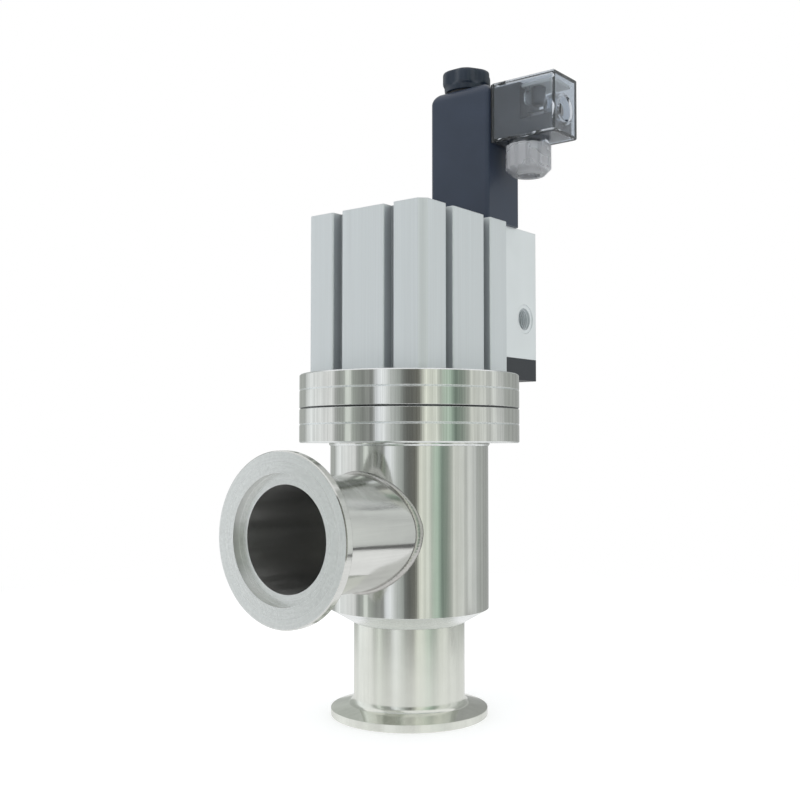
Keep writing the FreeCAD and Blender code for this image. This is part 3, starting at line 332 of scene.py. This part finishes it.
def turned_steel(
    name, axis, centre, roughness, marks, depth, colour, lines=0.07, inner=None, joint=None, cone=None
):
    """Turned metal: rings of tool marks, fine lengthwise polish lines, duller faces and insides.

    inner is the reach and colour of a bore, joint the height of the gap between the discs, where a
    painted shade line stands for its shadow, cone the roughness of polished cones.
    """
    made = Finish(name, colour, roughness, metallic=1.0)
    angle, radius, height, lengthwise, outwards = made.polar(axis, centre)
    across = made.spread(lengthwise, 0.0, 1.0, *(FLAT_ONLY if cone else CONES_TOO))
    along = made.math("SUBTRACT", 1.0, across)
    drift = made.math("MULTIPLY", angle, 0.0012)
    rings = made.node("ShaderNodeCombineXYZ", radius, height, drift).outputs[0]
    fine = made.noise(rings, detail=3.0, scale=marks)
    low_height = made.math("MULTIPLY", height, 0.1)
    turned = made.math("MULTIPLY", angle, along)
    streaks = []
    for change in (BROAD_STREAKS, THIN_STREAKS):
        round_it = made.math("MULTIPLY", turned, change)
        spot = made.node("ShaderNodeCombineXYZ", round_it, radius, low_height).outputs[0]
        streaks.append(made.noise(spot, detail=3.0, scale=STREAKS))
    broad, thin = streaks
    cloud = made.noise(made.place, detail=4.0, scale=CLOUDS)
    worn = made.shade(broad, 0.95, 1.02)
    worn = made.shade(thin, 1.0 - lines, 1.0 + lines * 0.4, over=worn)
    worn = made.shade(cloud, 0.97, 1.02, over=worn)
    speck = made.noise(made.place, detail=3.0, scale=SPECKS)
    face = made.shade(fine, 1.0 - FACE_RINGS, 1.0, over=tone(*STEEL_FACE) + (1.0,))
    face = made.shade(speck, 0.93, 1.03, over=face)
    worn = made.mix(across, worn, face)
    smooth = made.spread(lengthwise, roughness, cone or roughness, 0.6, 0.9)
    dull = made.spread(across, smooth, max(FACE_ROUGHNESS, roughness), 0.0, 1.0)
    if inner:
        bore, inner_colour = inner
        within = made.spread(outwards, 1.0, 0.0, -0.6, -0.2)
        near_axis = made.spread(radius, 1.0, 0.0, bore - 0.0002, bore + 0.0002)
        made.mix(made.math("MULTIPLY", within, near_axis), worn, tone(*inner_colour) + (1.0,))
        dull = made.math("MAXIMUM", dull, made.math("MULTIPLY", within, BORE_ROUGHNESS))
    # painted shade: a thin dark band at the joint's height stands for the shadow in the gap between the
    # discs
    if joint:
        gap = made.math("ABSOLUTE", made.math("SUBTRACT", height, joint))
        made.shade(gap, PAINTED_JOINT_SHADE, 1.0, JOINT_HALF * 0.6, JOINT_HALF, over=worn)
    uneven = made.spread(broad, 0.85, 1.2)
    made.feed(made.shader.inputs["Roughness"], made.math("MULTIPLY", dull, uneven))
    waves = made.emboss(thin, 0.000012, 0.5, over=made.soften(SOFT_STEEL_EDGE))
    made.emboss(fine, depth, over=waves)
    made.brushed(axis, BRUSHED)
    return made.material


def plain_metal(name, colour, roughness, grain, depth):
    """Cast, drawn or plated metal with a fine even grain."""
    made = Finish(name, colour, roughness, metallic=1.0)
    speck = made.noise(made.place, detail=4.0, scale=grain)
    made.shade(speck, 0.9, 1.06)
    made.roughen(speck, roughness * 0.8, roughness * 1.25)
    made.emboss(speck, depth)
    return made.material


def extruded_alloy(name, colour, roughness, half):
    """Upright anodised extrusion of this half width: drawn lines over a blasted grain, painted shade
    down the slots.
    """
    made = Finish(name, colour, roughness, metallic=0.75)
    lines = made.noise(made.stretched(*EXTRUSION_LINES), detail=3.0)
    grain = made.noise(made.place, detail=3.0, scale=5200.0)
    worn = made.shade(lines, 0.96, 1.03)
    parts = made.node("ShaderNodeSeparateXYZ", made.place).outputs
    reach = made.math("MAXIMUM", made.math("ABSOLUTE", parts[0]), made.math("ABSOLUTE", parts[1]))
    # painted shade: the colour is darkened deeper in than the faces, standing in for the slots' shadow
    made.shade(reach, PAINTED_SLOT_SHADE, 1.0, half - SLOT_DEPTH, half - 0.0003, over=worn)
    made.roughen(lines, roughness * 0.9, roughness * 1.15)
    rough = made.emboss(grain, 0.000006, 0.6, over=made.soften(SOFT_EDGE))
    made.emboss(lines, 0.000008, 0.8, over=rough)
    return made.material


def blasted_alloy(name, colour, roughness):
    """Pale anodised aluminium, fine blasted."""
    made = Finish(name, colour, roughness, metallic=0.55)
    grain = made.noise(made.place, detail=4.0, scale=4200.0)
    cloud = made.noise(made.place, detail=2.0, scale=60.0)
    made.shade(cloud, 0.97, 1.02)
    made.roughen(grain, roughness * 0.9, roughness * 1.15)
    made.emboss(grain, 0.00001, 0.7, over=made.soften(SOFT_EDGE))
    return made.material


def moulded_plastic(name, colour, roughness, grain=2600.0, depth=0.000012):
    """Moulded plastic: fine spark texture, slightly uneven gloss."""
    made = Finish(name, colour, roughness, Specular_IOR_Level=0.45)
    fine = made.noise(made.place, detail=3.0, scale=grain)
    cloud = made.noise(made.place, detail=3.0, scale=90.0)
    made.shade(cloud, 0.92, 1.08)
    made.roughen(cloud, roughness * 0.88, roughness * 1.15)
    made.emboss(fine, depth, 0.8, over=made.soften(SOFT_EDGE))
    return made.material


def rubber(name, colour):
    """Matte moulded rubber."""
    made = Finish(name, colour, 0.62, Sheen_Weight=0.12)
    fine = made.noise(made.place, detail=4.0, scale=1900.0)
    made.shade(fine, 0.85, 1.12)
    made.roughen(fine, 0.5, 0.72)
    made.emboss(fine, 0.00002, 0.7)
    return made.material


def clear_plastic(name, colour, roughness, transmission):
    """See-through moulded plastic with faint flow marks."""
    made = Finish(name, colour, roughness, Transmission_Weight=transmission, IOR=CLEAR_IOR)
    flow = made.noise(made.stretched(40.0, 40.0, 90.0), detail=3.0, distortion=0.6)
    made.shade(flow, 0.94, 1.04)
    made.roughen(flow, roughness * 0.7, roughness * 1.4)
    made.emboss(flow, 0.00004, 0.25)
    return made.material


def middle(node):
    low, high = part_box(node)
    return (low + high) / 2


def finishes():
    """Material of each of the record's slots."""
    outlet = middle("outlet_port")
    upright, level = ("Z", (0, 0, 0)), ("Y", (outlet.x, 0.0, outlet.z))
    port, chamber = (PORT_BORE_REACH, PORT_BORE), (CHAMBER_BORE_REACH, CHAMBER_BORE)
    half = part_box("cylinder_barrel")[1].x
    polished, drilled_and_painted_light = {"inner": port, "cone": CONE_ROUGHNESS}, {"inner": chamber}
    stacked = {"joint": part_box("chamber_flange")[1].z}
    kinds = [
        # Turned: name, axis and centre, roughness, marks per metre, their depth, colour, polish lines.
        (turned_steel, "satin_steel", *upright, 0.22, 2600.0, 0.000004, STEEL_SATIN, 0.03, polished),
        (turned_steel, "polished_steel", *level, 0.12, 2600.0, 0.000003, STEEL, 0.04, polished),
        (turned_steel, "turned_steel", *upright, 0.11, 2200.0, 0.000003, STEEL, 0.05, drilled_and_painted_light),
        (turned_steel, "disc_steel", *upright, 0.08, 3000.0, 0.000003, STEEL, 0.14, stacked),
        (turned_steel, "rod_steel", *upright, 0.2, 3000.0, 0.000003, (196, 196, 196)),
        (turned_steel, "head_alloy", *upright, 0.3, 2400.0, 0.000008, (206, 208, 210)),
        (turned_steel, "piston_alloy", *upright, 0.3, 2400.0, 0.000008, (204, 206, 208)),
        # Plain: name, colour, roughness, grain per metre and its depth.
        (plain_metal, "weld_bead", (188, 187, 184), 0.17, 1400.0, 0.00006),
        (plain_metal, "bellows_steel", (204, 204, 200), 0.24, 900.0, 0.00002),
        (plain_metal, "screw_steel", (178, 178, 180), 0.3, 2400.0, 0.00001),
        (plain_metal, "spring_steel", (120, 122, 126), 0.38, 2000.0, 0.00002),
        (plain_metal, "magnet", (62, 62, 64), 0.55, 3000.0, 0.00003),
        (plain_metal, "bronze", (190, 150, 92), 0.35, 2400.0, 0.00001),
        (plain_metal, "sintered_bronze", (178, 138, 84), 0.6, 4200.0, 0.00018),
        (plain_metal, "brass", (214, 182, 108), 0.25, 2600.0, 0.000008),
        (plain_metal, "blade_metal", (214, 212, 204), 0.28, 2600.0, 0.000008),
        (extruded_alloy, "anodised_alloy", (217, 222, 225), 0.42, half),
        (blasted_alloy, "pilot_alloy", (229, 234, 236), 0.42),
        (rubber, "seal_rubber", (44, 44, 45)),
        (rubber, "gland_rubber", (150, 152, 155)),
        (moulded_plastic, "black_plastic", (41, 45, 51), 0.42),
        (moulded_plastic, "coil_plastic", (45, 55, 72), 0.4),
        (moulded_plastic, "nut_plastic", (32, 43, 57), 0.34),
        (moulded_plastic, "insert_plastic", (64, 70, 81), 0.5),
        (moulded_plastic, "board_pale", (232, 234, 230), 0.35, 1800.0, 0.000006),
        # Clear: name, colour, roughness, share of light let through.
        (clear_plastic, "lamp_clear", (240, 244, 244), 0.06, 0.85),
        (clear_plastic, "smoked_clear", (212, 218, 225), 0.08, 0.96),
        (clear_plastic, "gland_clear", (214, 216, 220), 0.3, 0.55),
    ]
    made = {}
    for kind, name, *values in kinds:
        extras = values.pop() if isinstance(values[-1], dict) else {}
        made[name] = kind(name, *values, **extras)
    return made


def dress(obj, material):
    obj.data.materials.clear()
    obj.data.materials.append(material)
    obj.data.shade_smooth()
    obj.data.set_sharp_from_angle(angle=math.radians(SHARP_ANGLE))


def into_scene(name, data):
    """A new object with this mesh, lamp or camera."""
    obj = bpy.data.objects.new(name, data)
    bpy.context.scene.collection.objects.link(obj)
    return obj


def mesh_piece(name, verts, faces, material):
    mesh = bpy.data.meshes.new(name)
    mesh.from_pydata(verts, [], faces)
    mesh.update()
    mesh.shade_smooth()
    mesh.materials.append(material)
    obj = into_scene(name, mesh)
    return obj


def ring_faces(steps, count, flip=False):
    """Quads between the rows of a closed turned piece: steps rows round it, count points in each."""
    faces = []
    for i in range(steps):
        here, there = i * count, (i + 1) % steps * count
        for k in range(count):
            j = (k + 1) % count
            quad = (here + k, there + k, there + j, here + j)
            faces.append((quad[0], quad[3], quad[2], quad[1]) if flip else quad)
    return faces


def bent_tube(name, path, radius, sides, material):
    """A round wire along a path, its ends closed."""
    upright = Vector((0, 0, 1))
    verts, faces = [], []
    for i, place in enumerate(path):
        ahead = (path[min(i + 1, len(path) - 1)] - path[max(i - 1, 0)]).normalized()
        aside = ahead.cross(upright).normalized()
        up = aside.cross(ahead)
        for k in range(sides):
            turn = 2 * math.pi * k / sides
            verts.append(place + (aside * math.cos(turn) + up * math.sin(turn)) * radius)
    for i in range(len(path) - 1):
        for k in range(sides):
            a, b = i * sides + k, i * sides + (k + 1) % sides
            faces.append((a, b, b + sides, a + sides))
    faces.append(tuple(range(sides))[::-1])
    last = (len(path) - 1) * sides
    faces.append(tuple(range(last, last + sides)))
    return mesh_piece(name, verts, faces, material)


def turned_piece(name, outline, material):
    """A closed outline of (radius, height) turned about the valve's axis."""
    verts = []
    for i in range(TURNED_STEPS):
        turn = 2 * math.pi * i / TURNED_STEPS
        verts += [(r * math.cos(turn), r * math.sin(turn), z) for r, z in outline]
    return mesh_piece(name, verts, ring_faces(TURNED_STEPS, len(outline)), material)


def wire_spring(name, node, turns, wire, material):
    """A compression spring in its node's own room, its end turns closed up."""
    low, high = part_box(node)
    centre = (low + high) / 2
    radius = (high.x - low.x - wire) / 2
    count = int(turns * SPRING_STEPS)
    path = []
    for i in range(count + 1):
        share = i / count
        rise = share - SPRING_CLOSING * math.sin(4 * math.pi * share) / math.pi
        turn = 2 * math.pi * turns * share
        height = low.z + wire / 2 + (high.z - low.z - wire) * rise
        aside = Vector((radius * math.cos(turn), radius * math.sin(turn), 0.0))
        path.append(Vector((centre.x, centre.y, height)) + aside)
    made = bent_tube(name, path, wire / 2, SPRING_SIDES, material)
    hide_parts(node)
    return made


def bellows(material):
    """Edge-welded leaves: each fold a pair of dished rings with a bead on its crest."""
    low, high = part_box("bellows")
    first, last = low.z + BELLOWS_CUFF, high.z - BELLOWS_CUFF
    pitch = (last - first) / BELLOWS_FOLDS
    crest = high.x
    shoulder, halfway = crest - BELLOWS_WALL, (BELLOWS_ROOT + crest) / 2
    fold = [
        (halfway, 0.20), (shoulder, 0.40), (crest, 0.46), (crest, 0.54), (shoulder, 0.60),
        (halfway, 0.80), (BELLOWS_ROOT, 1.0),
    ]
    outer = [(BELLOWS_ROOT, low.z), (BELLOWS_ROOT, first)]
    for i in range(BELLOWS_FOLDS):
        outer += [(r, first + i * pitch + pitch * share) for r, share in fold]
    outer.append((BELLOWS_ROOT, high.z))
    inner = [(r - BELLOWS_WALL, z) for r, z in outer[::-1]]
    made = turned_piece("bellows_leaves", outer + inner, material)
    made.data.set_sharp_from_angle(angle=math.radians(SHARP_ANGLE))
    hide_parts("bellows")
    return made


def saddle_point(turn, tube, chamber, height):
    """Where a tube of this radius and height meets a chamber, at this turn round the tube."""
    x = tube * math.cos(turn)
    return Vector((x, -math.sqrt(chamber * chamber - x * x), height + tube * math.sin(turn)))


def weld_bead(material):
    """The polished saddle bead, with faint ripples and a slightly uneven edge."""
    verts = []
    tube, chamber, height = TUBE_RADIUS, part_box("valve_chamber")[1].x, middle("outlet_port").z
    ripples = round(2 * math.pi * TUBE_RADIUS * SADDLE_STRETCH / BEAD_PITCH)
    for i in range(BEAD_STEPS):
        turn = 2 * math.pi * i / BEAD_STEPS
        uneven = sum(share * math.sin(waves * turn + phase) for share, waves, phase in BEAD_WAVES)
        leg = BEAD_LEG * (1.0 + BEAD_UNEVEN * uneven)
        swell = 0.7 + 0.3 * math.sin(5 * turn)
        ripple = BEAD_RIPPLE * (0.5 + 0.5 * math.cos(ripples * turn)) * swell
        tube_side = saddle_point(turn, tube - BEAD_SET_IN, chamber + leg, height)
        chamber_side = saddle_point(turn, tube + leg, chamber - BEAD_SET_IN, height)
        corner = saddle_point(turn, tube, chamber, height)
        out = ((tube_side + chamber_side) / 2 - corner).normalized()
        for k in range(BEAD_SECTION + 1):
            share = k / BEAD_SECTION
            bulge = math.sin(math.pi * share)
            place = tube_side.lerp(chamber_side, share)
            verts.append(place + out * bulge * (BEAD_CROWN + ripple))
        verts.append(corner)
    faces = ring_faces(BEAD_STEPS, BEAD_SECTION + 2, flip=True)
    made = mesh_piece("saddle_bead", verts, faces, material)
    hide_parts("outlet_weld")
    return made


def port_thread(material):
    """The pipe thread's crests inside the supply port."""
    mount = [m for m in frame["record"]["mounts"] if m["name"] == "supply_port"][0]
    bore = mount["dims"]["r_mm"] / 1000
    face_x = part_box("pilot_body")[1].x
    _, port_y, port_z = mount["pos_m"]
    count = THREAD_TURNS * SPRING_STEPS
    row = len(THREAD_PROFILE)
    verts, faces = [], []
    for i in range(count + 1):
        turn = 2 * math.pi * i / SPRING_STEPS
        along = face_x - THREAD_START * THREAD_PITCH - THREAD_PITCH * i / SPRING_STEPS
        fade = min(1.0, i / SPRING_STEPS, (count - i) / SPRING_STEPS)
        for step, depth in THREAD_PROFILE:
            r = bore + THREAD_ROOT - THREAD_DEPTH * depth * fade
            y, z = port_y + r * math.cos(turn), port_z + r * math.sin(turn)
            verts.append((along + step * THREAD_PITCH, y, z))
    for i in range(count):
        for k in range(row):
            here, next_one = row * i + k, row * i + (k + 1) % row
            faces.append((here, next_one, next_one + row, here + row))
    faces.append(tuple(range(row))[::-1])
    faces.append(tuple(row * count + k for k in range(row)))
    return mesh_piece("supply_thread", verts, faces, material)


def lobed_nut(material):
    """The coil's nut: a round skirt, a scalloped grip and a dished top, bored for the stud."""
    low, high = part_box("coil_nut")
    centre, radius = (low + high) / 2, (high.x - low.x) / 2
    rows = []
    for share, reach, wave in NUT_OUTLINE:
        rows.append((low.z + (high.z - low.z) * share, radius * reach, radius * wave))
    verts = []
    for i in range(NUT_STEPS):
        turn = 2 * math.pi * i / NUT_STEPS
        scallop = (0.5 + 0.5 * math.cos(NUT_LOBES * turn + math.pi)) ** NUT_SCALLOP
        for height, reach, wave in rows:
            r = reach - wave * scallop
            verts.append((centre.x + r * math.cos(turn), centre.y + r * math.sin(turn), height))
    made = mesh_piece("lobed_nut", verts, ring_faces(NUT_STEPS, len(rows)), material)
    made.data.set_sharp_from_angle(angle=math.radians(NUT_SHARP_ANGLE))
    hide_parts("coil_nut")
    return made


def fitted_pieces(materials):
    """Every piece made here; all but the spool and armature springs are put on the body, those two are
    baked where they stand.
    """
    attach(weld_bead(materials["weld_bead"]), "body")
    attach(port_thread(materials["pilot_alloy"]), "body")
    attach(lobed_nut(materials["nut_plastic"]), "body")
    spring_steel = materials["spring_steel"]
    folded = bellows(materials["bellows_steel"])
    main_spring = wire_spring("return_coils", "return_spring", *RETURN_SPRING, spring_steel)
    for piece, node in ((folded, "bellows"), (main_spring, "return_spring")):
        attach(piece, "body")
        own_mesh(piece)
    under = wire_spring("spool_coils", "spool_spring", *SPOOL_SPRING, spring_steel)
    over = wire_spring("armature_coils", "armature_spring", *ARMATURE_SPRING, spring_steel)
    for piece, node, first, second in (
        (under, "spool_spring", "body", "armature"),
        (over, "armature_spring", "armature", "body"),
    ):
        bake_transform(piece)


def camera():
    """The photograph's camera."""
    turn, tilt = math.radians(CAMERA_TURN), math.radians(CAMERA_TILT)
    place = Vector((CAMERA_REACH * math.sin(turn), -CAMERA_REACH * math.cos(turn), CAMERA_HEIGHT))
    ahead = Vector((-math.sin(turn) * math.cos(tilt), math.cos(turn) * math.cos(tilt), math.sin(tilt)))
    data = bpy.data.cameras.new("camera")
    data.sensor_width = SENSOR
    data.lens = SENSOR * FOCAL_PX / IMAGE_PX
    data.shift_x = (IMAGE_PX / 2 - AXIS_PX) / IMAGE_PX
    data.clip_start, data.clip_end = CLIP
    obj = into_scene("camera", data)
    obj.location = place
    obj.rotation_mode = "QUATERNION"
    obj.rotation_quaternion = ahead.to_track_quat("-Z", "Y")
    bpy.context.scene.camera = obj


def seen_from_camera(angle, reach, height):
    """A place at this angle from the camera's side, positive to its right."""
    turn = math.radians(CAMERA_TURN + angle)
    return Vector((reach * math.sin(turn), -reach * math.cos(turn), height))


def lamp(name, angle, height, watts):
    """A soft square lamp, aimed at the object and unseen in its gloss."""
    data = bpy.data.lights.new(name, "AREA")
    data.energy = watts
    data.size = LAMP_SIZE
    obj = into_scene(name, data)
    obj.location = seen_from_camera(angle, LAMP_REACH, height)
    aim = Vector((0, 0, cad_high.z / 2)) - obj.location
    obj.rotation_mode = "QUATERNION"
    obj.rotation_quaternion = aim.to_track_quat("-Z", "Y")
    obj.visible_glossy = False


def world():
    """White where it is seen, in gloss and through clear plastic, and soft light otherwise."""
    made = bpy.data.worlds.new("studio")
    made.use_nodes = True
    bpy.context.scene.world = made
    tree = made.node_tree
    tree.nodes.clear()
    path = tree.nodes.new("ShaderNodeLightPath").outputs
    seen = path["Is Camera Ray"]
    for ray in ("Is Glossy Ray", "Is Transmission Ray"):
        most = tree.nodes.new("ShaderNodeMath")
        most.operation = "MAXIMUM"
        tree.links.new(seen, most.inputs[0])
        tree.links.new(path[ray], most.inputs[1])
        seen = most.outputs[0]
    white = tree.nodes.new("ShaderNodeBackground")
    white.inputs["Color"].default_value = (1, 1, 1, 1)
    soft = tree.nodes.new("ShaderNodeBackground")
    soft.inputs["Color"].default_value = AMBIENT_TINT + (1,)
    soft.inputs["Strength"].default_value = AMBIENT
    both = tree.nodes.new("ShaderNodeMixShader")
    tree.links.new(seen, both.inputs[0])
    tree.links.new(soft.outputs[0], both.inputs[1])
    tree.links.new(white.outputs[0], both.inputs[2])
    out = tree.nodes.new("ShaderNodeOutputWorld")
    tree.links.new(both.outputs[0], out.inputs[0])


def floor():
    """Pale paper that takes the shadow, plain white further out, and clear to gloss at a distance."""
    half = FLOOR_SIZE / 2
    verts = [(-half, -half, 0), (half, -half, 0), (half, half, 0), (-half, half, 0)]
    made = Finish("floor", (250, 250, 250), 0.9)
    grain = made.noise(made.place, detail=3.0, scale=30.0)
    made.shade(grain, 0.995, 1.0)
    glow = made.node("ShaderNodeEmission")
    away = made.node("ShaderNodeVectorMath", made.place, operation="LENGTH").outputs["Value"]
    far = made.spread(away, 0.0, 1.0, FLOOR_NEAR, FLOOR_FAR)
    path = made.node("ShaderNodeLightPath").outputs
    mirrored = made.math("MAXIMUM", path["Is Glossy Ray"], path["Is Transmission Ray"])
    plain = made.math("MAXIMUM", far, mirrored)
    lift = made.node("ShaderNodeEmission")
    made.feed(lift.inputs["Strength"], made.math("MULTIPLY", path["Is Camera Ray"], FLOOR_LIFT))
    paper = made.node("ShaderNodeAddShader", made.shader.outputs[0], lift.outputs[0])
    both = made.node("ShaderNodeMixShader", plain, paper.outputs[0], glow.outputs[0])
    aside, depth, _ = made.node("ShaderNodeSeparateXYZ", made.place).outputs
    nearest = TABLE_EDGE - EDGE_DEPTH
    edge = path["Is Glossy Ray"]
    for value, low, high, start, end in (
        (depth, 0.0, 1.0, nearest, nearest + EDGE_FADE),
        (depth, 1.0, 0.0, TABLE_EDGE, TABLE_EDGE + EDGE_FADE),
        (aside, 0.0, 1.0, *EDGE_LEFT),
        (aside, 1.0, 0.0, *EDGE_RIGHT),
    ):
        edge = made.math("MULTIPLY", edge, made.spread(value, low, high, start, end))
    made.feed(glow.inputs["Strength"], made.spread(edge, 1.0, EDGE_TONE, 0.0, 1.0))
    fading = made.spread(away, MIRROR_LEAST, 1.0, MIRROR_NEAR, MIRROR_FAR)
    beyond = made.math("MULTIPLY", path["Is Glossy Ray"], fading)
    beyond = made.math("MULTIPLY", beyond, made.math("SUBTRACT", 1.0, edge))
    clear = made.node("ShaderNodeBsdfTransparent")
    surface = made.node("ShaderNodeMixShader", beyond, both.outputs[0], clear.outputs[0])
    made.feed(made.tree.nodes["Material Output"].inputs[0], surface.outputs[0])
    mesh = bpy.data.meshes.new("floor")
    mesh.from_pydata(verts, [], [(0, 1, 2, 3)])
    mesh.materials.append(made.material)
    obj = into_scene("floor", mesh)


def surroundings():
    """A wall round the studio with the tones of what stands there, seen only by gloss."""
    ring = []
    for i in range(WALL_STEPS):
        place = seen_from_camera(360.0 * i / WALL_STEPS, WALL_RADIUS, 0.0)
        ring.append((place.x, place.y))
    verts = [(x, y, z) for z in (WALL_LOW, WALL_HIGH) for x, y in ring]
    faces = []
    for i in range(WALL_STEPS):
        j = (i + 1) % WALL_STEPS
        faces.append((i, j, j + WALL_STEPS, i + WALL_STEPS))
    made = Finish("surroundings", (200, 200, 200), 0.9)
    parts = made.node("ShaderNodeSeparateXYZ", made.place).outputs
    turn = made.math("ARCTAN2", parts[0], made.math("MULTIPLY", parts[1], -1.0))
    from_camera = made.math("SUBTRACT", turn, math.radians(CAMERA_TURN))
    wrapped = made.node("ShaderNodeMath", from_camera, math.pi, -math.pi, operation="WRAP").outputs[0]
    share = made.spread(wrapped, 0.0, 1.0, -math.pi, math.pi)
    ramp = made.node("ShaderNodeValToRGB", share)
    stops = ramp.color_ramp.elements
    wanted = []
    for _, start, end, left, right in SURROUNDINGS:
        wanted.append(((start + 180) / 360, left))
        wanted.append(((end + 180) / 360, right))
    while len(stops) < len(wanted):
        stops.new(0.5)
    for stop, (place, colour) in zip(stops, wanted):
        stop.position = place
        stop.color = colour + (1.0,)
    clutter = made.node("ShaderNodeTexNoise", noise_dimensions="1D")
    made.feed(clutter.inputs["W"], share)
    clutter.inputs["Scale"].default_value = CLUTTER
    clutter.inputs["Detail"].default_value = 4.0
    tones = made.shade(clutter.outputs["Fac"], 0.8, 1.2, over=ramp.outputs[0])
    glow = made.node("ShaderNodeEmission", tones)
    made.feed(made.tree.nodes["Material Output"].inputs[0], glow.outputs[0])
    mesh = bpy.data.meshes.new("surroundings")
    mesh.from_pydata(verts, [], faces)
    mesh.shade_smooth()
    mesh.materials.append(made.material)
    obj = into_scene("surroundings", mesh)
    for ray in ("camera", "diffuse", "transmission", "shadow", "volume_scatter"):
        setattr(obj, "visible_" + ray, False)


def dress_nodes(materials):
    """Every CAD node gets the material of its slot."""
    for part in frame["record"]["subparts"]:
        dress(frame["nodes"][part["node"]], materials[part["material_slot"]])


def write_size():
    """Only imports json; it keeps nothing."""
    import json


materials = finishes()
dress_nodes(materials)
fitted_pieces(materials)
camera()
world()
floor()
surroundings()
for name, angle, height, watts in LAMPS:
    lamp(name, angle, height, watts)
bpy.context.scene.view_settings.view_transform = "Standard"
write_size()
